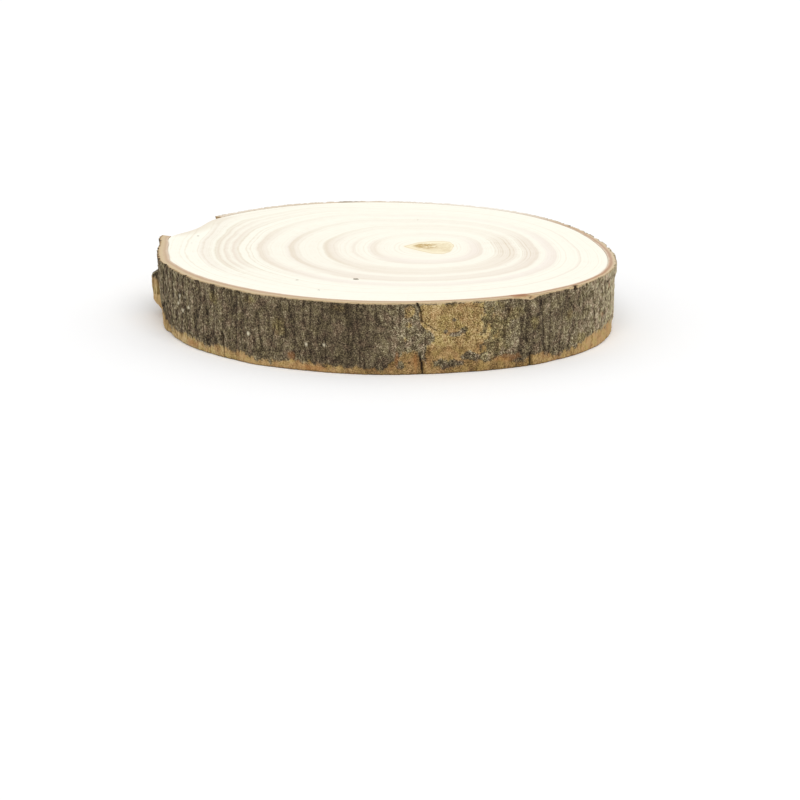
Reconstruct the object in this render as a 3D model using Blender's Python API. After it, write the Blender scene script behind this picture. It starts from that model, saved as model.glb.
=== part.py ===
"""A sawn slice of a young tree trunk with its bark on: about 165 mm across and 25 mm thick.

The slice lies flat. The origin is at the middle of its underside, +Z is up the trunk, +X is to the
right of someone looking at its front, and -Y is that front. Lengths are metres. A bearing is an angle
in degrees from +X towards +Y, seen from above.
"""

import math

import bmesh
import bpy
from mathutils import Vector, noise

# The slice as a whole
THICKNESS = 0.025
MEAN_RADIUS = 0.0820  # over the bark
TRUNK_AXIS = (0.0017, 0.0003)  # puts the origin at the middle of the whole width and depth
# The trunk isn't quite round: each wave adds height * cos(count * bearing - offset) to the radius.
OUTLINE_WAVES = (
    # count, height, offset in degrees
    (1, 0.0012, -104),
    (2, 0.0030, -92),
    (3, 0.0010, -112),
    (4, 0.0005, -121),
    (5, 0.0005, -143),
)
# Bumps that belong to one place only: bearing, half width in degrees, height
OUTLINE_BUMPS = (
    (166, 9, 0.0013),
    (193, 6, 0.0006),
    (308, 6, 0.0008),
)
# The side leans in towards the foot at two opposite bearings, and out between them
LEAN_MEAN = -0.0003
LEAN_SWING = 0.00105
LEAN_OUT_BEARING = 250

# The bark: thicker at the front left, thinner at the back right
BARK_MEAN_THICKNESS = 0.00335
BARK_THICKNESS_SWING = 0.00145
BARK_THICKEST_BEARING = 240
LEAST_BARK = 0.0005  # what is left where the foot is worn down to the wood
BARK_TO_WOOD_GAP = 0.0003  # keeps the two solids apart
# The wood is flatter where its bark has broken away
FLAT_BEARING = 153
FLAT_HALF_WIDTH = 13  # degrees
FLAT_DEPTH = 0.0028

# Relief of the bark's outer face
SWELL_WIDTH = 0.022  # long bulges in the bark
SWELL_HEIGHT = 0.0007
RIDGE_WIDTH = 0.0048  # upright ridges between the furrows
RIDGE_LENGTH = 0.021
RIDGE_HEIGHT = 0.0011
RIDGE_TOP_SHARE = 0.45  # where a ridge's side meets its flat top
RIDGE_CALM_BEARING = 268  # the ridges are lowest here, at the front
RIDGE_CALM_SHARE = 0.45  # of their full height

# The foot, where the outer bark has flaked off down to its inner layer
FOOT_HEIGHT = 0.0036
FOOT_HEIGHT_SWING = 0.0012  # it is highest at the right
FOOT_HIGHEST_BEARING = 335
FOOT_WAVE_HEIGHT = 0.0012
FOOT_WAVE_WIDTH = 0.013
FOOT_DEPTH = 0.0010
FOOT_EDGE = 0.0012  # height over which the bark steps back to the foot

# A loose plate of bark that stands proud at the left
PLATE_BEARING = 178.5
PLATE_HALF_WIDTH = 0.0055
PLATE_LOW, PLATE_HIGH = 0.0042, 0.0180
PLATE_LIFT = 0.0022

# Shrinkage cracks that open from the foot upwards: bearing, top of the crack
CRACKS = (
    (225.5, 0.0105),
    (278.8, 0.0250),
    (306.2, 0.0165),
)
CRACK_HALF_WIDTH = 0.0014
CRACK_DEPTH = 0.0012

# Nicks in the upper edge: bearing, depth down from the top face
NICKS = (
    (209.0, 0.0020),
    (286.5, 0.0024),
    (306.4, 0.0022),
    (319.2, 0.0022),
)
NICK_HALF_WIDTH = 0.0016
NICK_DEPTH = 0.0009

# Where bark has broken away at the back left, its outline as (along the trunk's side, height)
GAP_BEARING = 151.0
GAP_OUTLINE = (
    (-0.0184, 0.0290),
    (-0.0173, 0.0212),
    (-0.0188, 0.0158),
    (-0.0150, 0.0104),
    (-0.0110, 0.0087),
    (-0.0080, 0.0049),
    (-0.0024, 0.0066),
    (0.0030, 0.0041),
    (0.0080, 0.0072),
    (0.0120, 0.0069),
    (0.0152, 0.0117),
    (0.0145, 0.0163),
    (0.0180, 0.0214),
    (0.0193, 0.0290),
)
GAP_CUTTER_FROM, GAP_CUTTER_TO = 0.055, 0.105  # distances from the origin

# Fineness of the meshes
COLUMNS = 340
# The bark's outer face is followed at these heights, closer together at the foot and the upper edge
ROW_HEIGHTS = (0.0, 0.0014, 0.0029, 0.0045, 0.0075, 0.0112, 0.0150, 0.0186, 0.0214, 0.0234, THICKNESS)

SHARP_EDGE = math.radians(40)

WOOD_COLOUR = (0.90, 0.82, 0.66, 1.0)
BARK_COLOUR = (0.125, 0.098, 0.058, 1.0)


def smooth_step(low, high, value):
    """0 below low, 1 above high, and an even curve between them."""
    share = min(1.0, max(0.0, (value - low) / (high - low)))
    return share * share * (3 - 2 * share)


def around(bearing, other):
    """The turn from one bearing to another, from -180 to 180 degrees."""
    return (bearing - other + 180) % 360 - 180


def bump(bearing, at_bearing, half_width, height):
    """A round bump of this height, this many degrees either side of a bearing."""
    share = min(1.0, abs(around(bearing, at_bearing)) / half_width)
    return height * (1 + math.cos(math.pi * share)) / 2


def trunk_radius(bearing):
    """Radius over the bark, without its relief."""
    waves = sum(
        height * math.cos(count * math.radians(bearing) - math.radians(offset))
        for count, height, offset in OUTLINE_WAVES
    )
    return MEAN_RADIUS + waves + sum(bump(bearing, *place) for place in OUTLINE_BUMPS)


def lean(bearing, height):
    """How far the side lies outside the upper outline, growing towards the foot."""
    turn = 2 * math.radians(bearing - LEAN_OUT_BEARING)
    return (LEAN_MEAN + LEAN_SWING * math.cos(turn)) * (1 - height / THICKNESS)


def bark_thickness(bearing):
    turn = math.radians(bearing - BARK_THICKEST_BEARING)
    return BARK_MEAN_THICKNESS + BARK_THICKNESS_SWING * math.cos(turn)


def wood_radius(bearing):
    flat = bump(bearing, FLAT_BEARING, FLAT_HALF_WIDTH, FLAT_DEPTH)
    return trunk_radius(bearing) - bark_thickness(bearing) - flat


def inner_bark_radius(bearing):
    return wood_radius(bearing) + BARK_TO_WOOD_GAP


def on_trunk(bearing, radius, height):
    turn = math.radians(bearing)
    return Vector((radius * math.cos(turn), radius * math.sin(turn), height))


def noise_at(bearing, height, width, length):
    """Even noise over the trunk's side, in patches of this width round it and this length up it."""
    spot = on_trunk(bearing, MEAN_RADIUS, 0) / width
    spot.z = height / length
    return noise.noise(spot)


def ridge_height(bearing, height):
    """Flat-topped upright ridges with a narrow furrow between each two."""
    wander = noise_at(bearing + 90, height, RIDGE_WIDTH * 2, RIDGE_LENGTH)
    rise = abs(noise_at(bearing + 0.6 * wander, height, RIDGE_WIDTH, RIDGE_LENGTH))
    flat = min(1.0, rise / RIDGE_TOP_SHARE)
    turn = math.radians(bearing - RIDGE_CALM_BEARING)
    calm = 1 - (1 - RIDGE_CALM_SHARE) * (1 + math.cos(turn)) / 2
    return RIDGE_HEIGHT * calm * (flat - 0.5)


def foot_depth(bearing, height):
    """How far the flaked foot lies back from the bark above it."""
    turn = math.radians(bearing - FOOT_HIGHEST_BEARING)
    top = FOOT_HEIGHT + FOOT_HEIGHT_SWING * math.cos(turn)
    top += FOOT_WAVE_HEIGHT * 2 * noise_at(bearing, 0, FOOT_WAVE_WIDTH, 1)
    return FOOT_DEPTH * (1 - smooth_step(top - FOOT_EDGE, top, height))


def plate_lift(bearing, height):
    aside = abs(math.radians(around(bearing, PLATE_BEARING))) * MEAN_RADIUS
    across = 1 - smooth_step(PLATE_HALF_WIDTH * 0.5, PLATE_HALF_WIDTH, aside)
    up = smooth_step(PLATE_LOW - 0.002, PLATE_LOW + 0.002, height)
    down = 1 - smooth_step(PLATE_HIGH - 0.0015, PLATE_HIGH + 0.0005, height)
    return PLATE_LIFT * across * up * down


def notch(bearing, at_bearing, half_width, depth):
    """A V of this depth, this far either side of a bearing."""
    aside = abs(math.radians(around(bearing, at_bearing))) * MEAN_RADIUS
    return depth * max(0.0, 1 - aside / half_width)


def crack_depth(bearing, height):
    return sum(
        notch(bearing, at, CRACK_HALF_WIDTH, CRACK_DEPTH) * (1 - smooth_step(top * 0.6, top, height))
        for at, top in CRACKS
    )


def nick_depth(bearing, height):
    return sum(
        notch(bearing, at, NICK_HALF_WIDTH, NICK_DEPTH)
        * smooth_step(THICKNESS - down, THICKNESS - down / 2, height)
        for at, down in NICKS
    )


def outer_bark_radius(bearing, height):
    """The bark's outer face. Its relief is as deep as the bark there is thick."""
    swell = SWELL_HEIGHT * noise_at(bearing, height, SWELL_WIDTH, SWELL_WIDTH * 2)
    worn = foot_depth(bearing, height) + crack_depth(bearing, height) + nick_depth(bearing, height)
    relief = swell + ridge_height(bearing, height) - worn
    relief *= bark_thickness(bearing) / BARK_MEAN_THICKNESS
    side = trunk_radius(bearing) + lean(bearing, height) + plate_lift(bearing, height)
    return max(side + relief, inner_bark_radius(bearing) + LEAST_BARK)


def clear_scene():
    for old in list(bpy.data.objects):
        bpy.data.objects.remove(old, do_unlink=True)


def make_material(name, colour, roughness):
    material = bpy.data.materials.new(name)
    material.use_nodes = True
    shader = material.node_tree.nodes["Principled BSDF"]
    shader.inputs["Base Color"].default_value = colour
    shader.inputs["Roughness"].default_value = roughness
    shader.inputs["Metallic"].default_value = 0.0
    material.diffuse_color = colour
    return material


def object_from(bm, name, material=None):
    bmesh.ops.recalc_face_normals(bm, faces=bm.faces)
    mesh = bpy.data.meshes.new(name)
    bm.to_mesh(mesh)
    bm.free()
    mesh.shade_smooth()
    mesh.set_sharp_from_angle(angle=SHARP_EDGE)
    made = bpy.data.objects.new(name, mesh)
    made.location = (*TRUNK_AXIS, 0)
    bpy.context.scene.collection.objects.link(made)
    if material:
        mesh.materials.append(material)
    return made


def first_loop(bm, radius_at, height):
    """A closed loop of edges round the trunk, one vertex for each column."""
    bmesh.ops.create_circle(bm, segments=COLUMNS, radius=1.0)
    for vertex in bm.verts:
        bearing = math.degrees(math.atan2(vertex.co.y, vertex.co.x))
        vertex.co = on_trunk(bearing, radius_at(bearing), height)
    return list(bm.edges)


def next_loop(bm, edges, radius_at, height):
    """The loop of edges extruded to another height, and moved to the radius that goes with it."""
    made = bmesh.ops.extrude_edge_only(bm, edges=edges)["geom"]
    for vertex in (item for item in made if isinstance(item, bmesh.types.BMVert)):
        bearing = math.degrees(math.atan2(vertex.co.y, vertex.co.x))
        vertex.co = on_trunk(bearing, radius_at(bearing), height)
    on_loop = {item for item in made if isinstance(item, bmesh.types.BMVert)}
    return [
        item
        for item in made
        if isinstance(item, bmesh.types.BMEdge) and on_loop.issuperset(item.verts)
    ]


def make_wood():
    """The disc inside the bark: a flat face sawn across the trunk, extruded up to the other."""
    bm = bmesh.new()
    rim = first_loop(bm, wood_radius, 0)
    underside = bmesh.ops.contextual_create(bm, geom=rim)["faces"]
    made = bmesh.ops.extrude_face_region(bm, geom=underside)["geom"]
    upper = [item for item in made if isinstance(item, bmesh.types.BMVert)]
    bmesh.ops.translate(bm, verts=upper, vec=(0, 0, THICKNESS))
    return object_from(bm, "wood", make_material("sawn_wood", WOOD_COLOUR, 0.75))


def make_gap_cutter():
    """The ragged block that stands for the bark that has broken away."""
    outward = on_trunk(GAP_BEARING, 1, 0)
    along = on_trunk(GAP_BEARING + 90, 1, 0)
    bm = bmesh.new()
    corners = [
        bm.verts.new(outward * GAP_CUTTER_FROM + along * aside + Vector((0, 0, height)))
        for aside, height in GAP_OUTLINE
    ]
    face = bm.faces.new(corners)
    made = bmesh.ops.extrude_face_region(bm, geom=[face])["geom"]
    outer = [item for item in made if isinstance(item, bmesh.types.BMVert)]
    bmesh.ops.translate(bm, verts=outer, vec=outward * (GAP_CUTTER_TO - GAP_CUTTER_FROM))
    cutter = object_from(bm, "gap_cutter")
    cutter.hide_render = True
    cutter.display_type = "WIRE"
    return cutter


def make_bark():
    """The ring of bark: its outer face row by row, over the sawn edge, down inside and back."""
    bm = bmesh.new()
    foot = first_loop(bm, lambda bearing: outer_bark_radius(bearing, ROW_HEIGHTS[0]), ROW_HEIGHTS[0])
    loop = foot
    for height in ROW_HEIGHTS[1:]:
        loop = next_loop(bm, loop, lambda bearing: outer_bark_radius(bearing, height), height)
    loop = next_loop(bm, loop, inner_bark_radius, THICKNESS)
    loop = next_loop(bm, loop, inner_bark_radius, 0)
    bmesh.ops.bridge_loops(bm, edges=foot + loop)
    bark = object_from(bm, "bark", make_material("rough_bark", BARK_COLOUR, 0.9))
    gap = bark.modifiers.new("broken_away", "BOOLEAN")
    gap.operation = "DIFFERENCE"
    gap.solver = "EXACT"
    gap.object = make_gap_cutter()
    return bark


clear_scene()
make_wood()
make_bark()
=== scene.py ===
# %% [markdown]
# # A wood slice with its bark on
#
# This is a slice sawn across the trunk of a young tree that grew fast: pale wood with wide growth
# rings, and a thin coat of rough bark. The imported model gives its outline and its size. Two fine
# pieces are made here to stand for its two solids: the disc of wood, and the ring of bark.

# %% Load the frame
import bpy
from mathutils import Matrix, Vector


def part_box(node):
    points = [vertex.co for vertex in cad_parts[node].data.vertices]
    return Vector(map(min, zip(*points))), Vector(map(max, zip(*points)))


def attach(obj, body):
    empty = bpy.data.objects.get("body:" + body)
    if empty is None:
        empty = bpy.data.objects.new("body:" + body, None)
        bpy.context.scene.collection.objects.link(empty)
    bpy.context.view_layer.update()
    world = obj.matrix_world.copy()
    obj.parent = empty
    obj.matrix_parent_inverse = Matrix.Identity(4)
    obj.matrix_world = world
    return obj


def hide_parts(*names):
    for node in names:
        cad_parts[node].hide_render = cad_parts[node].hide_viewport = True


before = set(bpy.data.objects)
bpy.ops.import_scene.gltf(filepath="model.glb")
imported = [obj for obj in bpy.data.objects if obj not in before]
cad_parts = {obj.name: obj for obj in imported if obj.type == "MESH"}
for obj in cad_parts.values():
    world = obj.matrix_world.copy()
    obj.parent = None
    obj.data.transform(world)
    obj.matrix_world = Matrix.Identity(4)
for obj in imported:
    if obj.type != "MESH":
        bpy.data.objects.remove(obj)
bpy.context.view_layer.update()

# %% Modules and main measures
import math

import bpy
import numpy as np
from mathutils import Vector, noise

MM = 0.001
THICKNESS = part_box("wood")[1].z
# The middle of the trunk. Bearings are taken about it, in degrees from +X towards +Y: the front is at 270
TRUNK_AXIS = Vector((0.0017, 0.0003, 0))
MEAN_RADIUS = 82  # over the bark, in mm
MM_PER_DEGREE = 1.43  # along the bark's side
print("the slice is", round(THICKNESS / MM, 1), "mm thick")

# %% [markdown]
# ## What the frame says about the outline
#
# The trunk isn't round, so a plain cylinder would miss the shape of both pieces. The outline could be
# typed in again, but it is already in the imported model. Rays shot at the model, one for each bearing,
# find where its wood ends and where the bark ends.

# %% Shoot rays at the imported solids
BEARING_STEP = 0.5
BEARINGS = np.arange(0, 360, BEARING_STEP)
RAY_START = 0.12  # from the trunk's middle, well outside the bark
RAY_LENGTH = 0.10  # a longer ray has gone through the missing stretch, to the far side
LEAST_REACH = 0.05


def reach(node, height):
    """How far out from the trunk's middle a node reaches, for each bearing; NaN where it is open."""
    found = []
    for bearing in np.radians(BEARINGS):
        outward = Vector((math.cos(bearing), math.sin(bearing), 0))
        start = TRUNK_AXIS + Vector((0, 0, height)) + outward * RAY_START
        hit, place, _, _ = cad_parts[node].ray_cast(start, -outward)
        distance = (place - TRUNK_AXIS).xy.length if hit else math.nan
        near = distance > LEAST_REACH and (place.xy - start.xy).length < RAY_LENGTH
        found.append(distance if near else math.nan)
    return np.array(found)


def closed_up(values):
    """The values with the open stretch filled in straight between its two ends."""
    known = ~np.isnan(values)
    return np.interp(BEARINGS, BEARINGS[known], values[known], period=360)


wood_reach = reach("wood", THICKNESS / 2)
bark_rows = [closed_up(reach("bark", height * MM)) for height in (20.5, 21.5, 22.5)]
print("rays shot:", len(BEARINGS) * (1 + len(bark_rows)))

# %% Even the outlines out, and trim them in mm
# The solid's own ridges are part of what the rays meet, so the plain outline lies a little within them
OUTLINE_TRIM = (
    (150, -0.2), (166, -0.3), (171, -1.3), (186, -1.5), (196, -0.7), (206, -0.25), (330, -0.2), (343, -0.8),
    (350, -1.0), (2, -0.9), (12, -0.3), (22, 0.1), (40, 0.3), (60, 0.0),
)
WOOD_TRIM = (
    (150, 0), (166, -0.2), (172, -1.0), (178, -1.2), (184, -1.3), (190, -0.9), (196, -0.45), (204, -0.1),
    (212, 0), (335, 0), (350, -0.6), (8, -0.6), (25, 0),
)


def at_bearing(values, bearings):
    return np.interp(bearings, BEARINGS, values, period=360)


def evened(values, degrees):
    """The values averaged over this many degrees either way."""
    steps = int(degrees / BEARING_STEP)
    return np.mean([np.roll(values, shift) for shift in range(-steps, steps + 1)], axis=0)


def round_table(pairs, degrees):
    """A row of values round the trunk from (bearing, value) pairs, evened out."""
    bearings, values = np.array(sorted(pairs)).T
    return evened(np.interp(BEARINGS, bearings, values, period=360), degrees)


bark_reach = evened(np.mean(bark_rows, axis=0), 2.5) + round_table(OUTLINE_TRIM, 1.5) * MM
wood_reach = wood_reach + round_table(WOOD_TRIM, 2.5) * MM
for name, values in (("wood", wood_reach), ("bark", bark_reach)):
    print(name, "reaches", (values.min() / MM).round(1), "to", (values.max() / MM).round(1), "mm")

# %% [markdown]
# ## The disc of wood
#
# The real disc is end grain: the saw cut straight across the fibres, and a light sanding left it flat
# and matt. Its growth rings follow the outline of the trunk and close in on the pith, which lies off
# the middle. A flat cap of one face could carry the colours, but nothing on it would know where the
# rings run. So a tube is started for the wall, and its rim is extruded and scaled towards the pith
# again and again, as the tree grew in reverse.

# %% Start the wall as a tube
WOOD_COLUMNS = 720
WOOD_ROWS = 16
START_RADIUS = 0.08


def pick_edges(piece, wanted):
    """Selects the edges whose two ends pass the test, and leaves the piece in edit mode."""
    bpy.context.tool_settings.mesh_select_mode = (False, True, False)
    mesh = piece.data
    for items in (mesh.vertices, mesh.edges, mesh.polygons):
        items.foreach_set("select", np.zeros(len(items), bool))
    ends = np.empty(len(mesh.edges) * 2, int)
    mesh.edges.foreach_get("vertices", ends)
    places = [vertex.co for vertex in mesh.vertices]
    mesh.edges.foreach_set("select", [wanted(places[a], places[b]) for a, b in ends.reshape(-1, 2)])
    bpy.ops.object.mode_set(mode="EDIT")


def add_tube(name, columns, rows):
    """An upright tube of quads as high as the slice, open at both ends."""
    bpy.ops.object.select_all(action="DESELECT")
    bpy.ops.mesh.primitive_cylinder_add(
        vertices=columns, radius=START_RADIUS, depth=THICKNESS, end_fill_type="NOTHING",
        location=(TRUNK_AXIS.x, TRUNK_AXIS.y, THICKNESS / 2),
    )
    tube = bpy.context.object
    tube.name = name
    bpy.ops.object.transform_apply(location=True, rotation=True, scale=True)
    pick_edges(tube, lambda a, b: abs(a.z - b.z) > THICKNESS / 2)
    bpy.ops.mesh.subdivide(number_cuts=rows - 1)
    bpy.ops.object.mode_set(mode="OBJECT")
    return tube


wood = add_tube("wood_disc", WOOD_COLUMNS, WOOD_ROWS)
print("wood tube:", len(wood.data.polygons), "faces")

# %% Move the wall out to the outline
SANDED_EDGE = 0.35 * MM
INTO_BARK = 0.25 * MM  # the disc reaches out to the bark, so that no dark gap shows


def points_of(mesh):
    points = np.empty(len(mesh.vertices) * 3)
    mesh.vertices.foreach_get("co", points)
    return points.reshape(-1, 3)


def set_points(mesh, points):
    mesh.vertices.foreach_set("co", np.asarray(points, float).ravel())
    mesh.update()


def polar(points, centre):
    """Bearings in degrees and distances of points from an upright line through the centre."""
    across = points[:, 0] - centre[0], points[:, 1] - centre[1]
    return np.degrees(np.arctan2(across[1], across[0])) % 360, np.hypot(*across)


def round_trunk(bearings, radii):
    """The x and y of places at these bearings and distances from the trunk's middle."""
    turn = np.radians(bearings)
    return np.stack([TRUNK_AXIS.x + radii * np.cos(turn), TRUNK_AXIS.y + radii * np.sin(turn)], axis=1)


points = points_of(wood.data)
bearings, _ = polar(points, TRUNK_AXIS)
points[:, :2] = round_trunk(bearings, at_bearing(wood_reach, bearings) + INTO_BARK)
points[:, 2] = np.clip(points[:, 2], SANDED_EDGE, THICKNESS - SANDED_EDGE)
set_points(wood.data, points)
print("wood wall is", round(float(np.ptp(points[:, 0])) / MM, 1), "mm wide")

# %% Close both faces of the disc, ring by ring, towards the pith
PITH = Vector((0.0183, 0.0045, 0))
PITH_SHARE = 0.2  # inside this share of the way the steps are finer, for the small golden patch
INNERMOST_SHARE = 0.01
PITH_STEPS = 14
OUTER_STEPS = 26


def close_towards_pith(piece, height):
    """Extrudes the rim at this height again and again, scaled towards the pith, and closes it there."""
    rim_height = THICKNESS - SANDED_EDGE if height > THICKNESS / 2 else SANDED_EDGE
    pick_edges(piece, lambda a, b: abs(a.z - rim_height) < 1e-6 and abs(b.z - rim_height) < 1e-6)
    centre = (PITH.x, PITH.y, height)
    edge = 1 - SANDED_EDGE / START_RADIUS
    bpy.ops.mesh.extrude_region_move(TRANSFORM_OT_translate={"value": (0, 0, height - rim_height)})
    bpy.ops.transform.resize(value=(edge, edge, 1), center_override=centre)
    shares = np.append(
        np.linspace(edge, PITH_SHARE, OUTER_STEPS)[:-1], np.linspace(PITH_SHARE, INNERMOST_SHARE, PITH_STEPS),
    )
    for outer, inner in zip(shares[:-1], shares[1:]):
        bpy.ops.mesh.extrude_region_move()
        bpy.ops.transform.resize(value=(inner / outer, inner / outer, 1), center_override=centre)
    bpy.ops.mesh.merge(type="CENTER")
    bpy.ops.object.mode_set(mode="OBJECT")


close_towards_pith(wood, THICKNESS)
close_towards_pith(wood, 0)
bpy.ops.object.mode_set(mode="EDIT")
bpy.ops.mesh.select_all(action="SELECT")
bpy.ops.mesh.normals_make_consistent(inside=False)
bpy.ops.object.mode_set(mode="OBJECT")
bpy.ops.object.shade_smooth_by_angle(angle=math.radians(30))
print("wood disc:", len(wood.data.polygons), "faces")

# %% [markdown]
# ### What the disc remembers about its rings
#
# Real rings are rounder than the outline near the pith, and crowd or spread with the bearing. Circles
# round the pith would miss that, and a picture of them would blur. So each vertex keeps its share of
# the way from pith to rim, and how far the rings are pushed outwards there, in attributes that the
# material reads later.

# %% Keep the share of the way from pith to rim
# How far the rings between pith and rim are pushed outwards, for bearings round the pith
RING_BEND = (
    (0, -0.02), (30, -0.15), (60, -0.2), (90, -0.1), (120, 0.08), (150, 0.14), (165, 0.15), (180, 0.15),
    (195, 0.12), (210, 0.04), (225, -0.06), (240, -0.14), (255, -0.18), (270, -0.19), (285, -0.16),
    (300, -0.15), (315, -0.06), (330, 0.0), (345, 0.0),
)
# At the bare stretch the outer rings turn out to the edge
RING_CUT = (
    (60, 0.0), (115, 0.0), (135, -0.05), (147, -0.09), (155, -0.06), (162, -0.02), (170, 0.0), (300, 0.0),
)
# Between these bearings the rings are parts of circles round the pith, whatever the outline does there.
# They take their size from the outline at the bearing after them
RING_ROUND = (118, 192)
RING_ROUND_LIKE = 186


def smooth_step(low, high, value):
    """0 below low, 1 above high, and an even curve between them."""
    share = np.clip((value - low) / (high - low), 0, 1)
    return share * share * (3 - 2 * share)


def store(mesh, name, values):
    """Keeps one number a vertex, for a material to read."""
    mesh.attributes.new(name, "FLOAT", "POINT").data.foreach_set("value", np.asarray(values, float))


points = points_of(wood.data)
rim = points[np.abs(points[:, 2] - THICKNESS / 2) < THICKNESS / WOOD_ROWS]
rim_bearings, rim_radii = polar(rim, PITH)
order = np.argsort(rim_bearings)
bearings, radii = polar(points, PITH)
rim_reach = np.interp(BEARINGS, rim_bearings[order], rim_radii[order], period=360)
around = smooth_step(RING_ROUND[0] - 14, RING_ROUND[0] + 10, BEARINGS)
around = around * smooth_step(RING_ROUND[1] + 14, RING_ROUND[1] - 4, BEARINGS)
round_reach = rim_reach + around * (rim_reach[BEARINGS == RING_ROUND_LIKE] - rim_reach)
share = radii / at_bearing(evened(round_reach, 2), bearings)
store(wood.data, "share", share)
store(wood.data, "bend", at_bearing(round_table(RING_BEND, 8), bearings))
store(wood.data, "ring_cut", at_bearing(round_table(RING_CUT, 3), bearings) * share ** 6)
print("share runs from", round(float(share.min()), 3), "to", round(float(share.max()), 3))

# %% Keep how plainly the rings show
RING_SHOW = (
    (0, 0.8), (20, 0.75), (40, 0.42), (60, 0.30), (90, 0.30), (125, 0.26), (138, 0.33), (150, 0.45),
    (158, 0.68), (168, 0.85), (180, 0.88), (200, 0.88), (215, 0.85), (240, 0.8), (270, 0.6), (300, 0.75),
    (330, 0.88),
)


def turn_between(bearing, other):
    """The turn from one bearing to another, from -180 to 180 degrees."""
    return (bearing - other + 180) % 360 - 180


# The outermost rings fade at the front left
fading = smooth_step(200, 212, bearings) * smooth_step(275, 255, bearings) * smooth_step(0.70, 0.76, share)
store(wood.data, "ring_show", at_bearing(round_table(RING_SHOW, 8), bearings) * (1 - 0.75 * fading))
store(wood.data, "leftward", 1 - smooth_step(35, 75, np.abs(turn_between(bearings, 170))))
# The bare edge at the back left is stained
bare = smooth_step(143, 151, bearings) * smooth_step(171, 166, bearings)
store(wood.data, "stain", bare * smooth_step(0.93, 0.995, radii / at_bearing(rim_reach, bearings)))
# Grey, finely mottled stretches of wood lie to the right and far left
right = 1 - smooth_step(18, 45, np.abs(turn_between(bearings, 0)))
left = 1 - smooth_step(22, 50, np.abs(turn_between(bearings, 185)))
within = smooth_step(0.33, 0.4, share) * (1 - smooth_step(0.56, 0.62, share))
lined = left * smooth_step(0.60, 0.70, share) * (1 - smooth_step(0.90, 0.98, share))
store(wood.data, "mottled", right * within + 0.35 * lined)
print("stained vertices:", int((bare > 0.5).sum()))

# %% Outline the golden patch round the pith
# A thin line shaped like an almond runs round it, and it is darkest to the left.
# Rows of place from side to side, back edge and front edge, in mm from the pith
ALMOND = (
    (-10.2, 1.0, 0.6), (-8.0, 3.6, -2.0), (-5.0, 7.3, -5.5), (0.0, 9.3, -10.5), (4.0, 9.5, -11.0),
    (6.5, 8.0, -7.5), (7.8, 3.0, 1.0),
)
GOLD = ((-6.6, 3.2, 0.0), (-5.0, 5.2, -2.2), (0.0, 6.0, -7.2), (5.8, 6.2, -8.0), (6.8, 4.0, -5.0))
GOLD_DEEP = ((-6.2, 2.8, 0.6), (-4.5, 5.0, -1.8), (-1.0, 5.4, -2.6), (1.6, 4.0, -0.5))


def beyond(aside, away, outline):
    """How far in mm a point lies outside a small outline; less than nothing inside it."""
    places, back, front = np.array(outline).T
    outside = np.maximum(away - np.interp(aside, places, back), np.interp(aside, places, front) - away)
    return np.maximum(outside, np.maximum(places[0] - aside, aside - places[-1]) * 3)


aside, away = (points[:, 0] - PITH.x) / MM, (points[:, 1] - PITH.y) / MM
store(wood.data, "almond", np.clip(0.5 + 0.1 * beyond(aside, away, ALMOND), 0, 1))
store(wood.data, "gold", 1 - smooth_step(-1.6, 1.2, beyond(aside, away, GOLD)))
store(wood.data, "gold_deep", 1 - smooth_step(-2.2, 1.4, beyond(aside, away, GOLD_DEEP)))
print("wood remembers:", [one.name for one in wood.data.attributes if one.data_type == "FLOAT"])

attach(wood, "root")
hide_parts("wood")

# %% [markdown]
# ## The ring of bark
#
# Bark is dead tissue that the growing trunk splits. It is furrowed upright, rough all over, and where
# its outer layer has flaked off, at the foot and in a patch at the front, the smoother tan inner
# bark shows. Noise in the material alone would leave its outline smooth, so the relief is real: a
# tube with fine rows and columns is pushed in and out by code, and the same numbers are kept on its
# vertices for the colours. Displace modifiers could do it too, but they give no hold on where a
# furrow, a flaked patch or a crack goes, and the real ones have their places.

# %% Say where a point lies on the bark's side
def noise_at(points, seed=0):
    """Even noise at points that are already scaled to the size of its patches."""
    shift = Vector((seed * 7.3, seed * 3.1, seed * 5.7))
    return np.array([noise.noise(Vector(point) + shift) for point in points])


def describe(points):
    """Bearing, height in mm, place on an even trunk in mm, and a ragged noise for points on the side."""
    bearings, _ = polar(points, TRUNK_AXIS)
    turn = np.radians(bearings)
    height = points[:, 2] / MM
    place = np.stack([MEAN_RADIUS * np.cos(turn), MEAN_RADIUS * np.sin(turn), height], axis=1)
    ragged = noise_at(place / (1.9, 1.9, 2.6), 1) + 0.5 * noise_at(place / 0.9, 2)
    return {"bearing": bearings, "height": height, "place": place, "ragged": ragged}


def aside_of(side, bearing):
    """How far in mm each point lies to the side of a bearing."""
    return np.radians(turn_between(side["bearing"], bearing)) * MEAN_RADIUS


def spot(side, bearing, height, half_width, half_height):
    """1 inside an oval at this bearing and height, 0 outside it, with a soft edge. All in mm."""
    away = np.hypot(aside_of(side, bearing) / half_width, (side["height"] - height) / half_height)
    return 1 - smooth_step(0.6, 1.3, away + 0.5 * side["ragged"])


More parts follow.
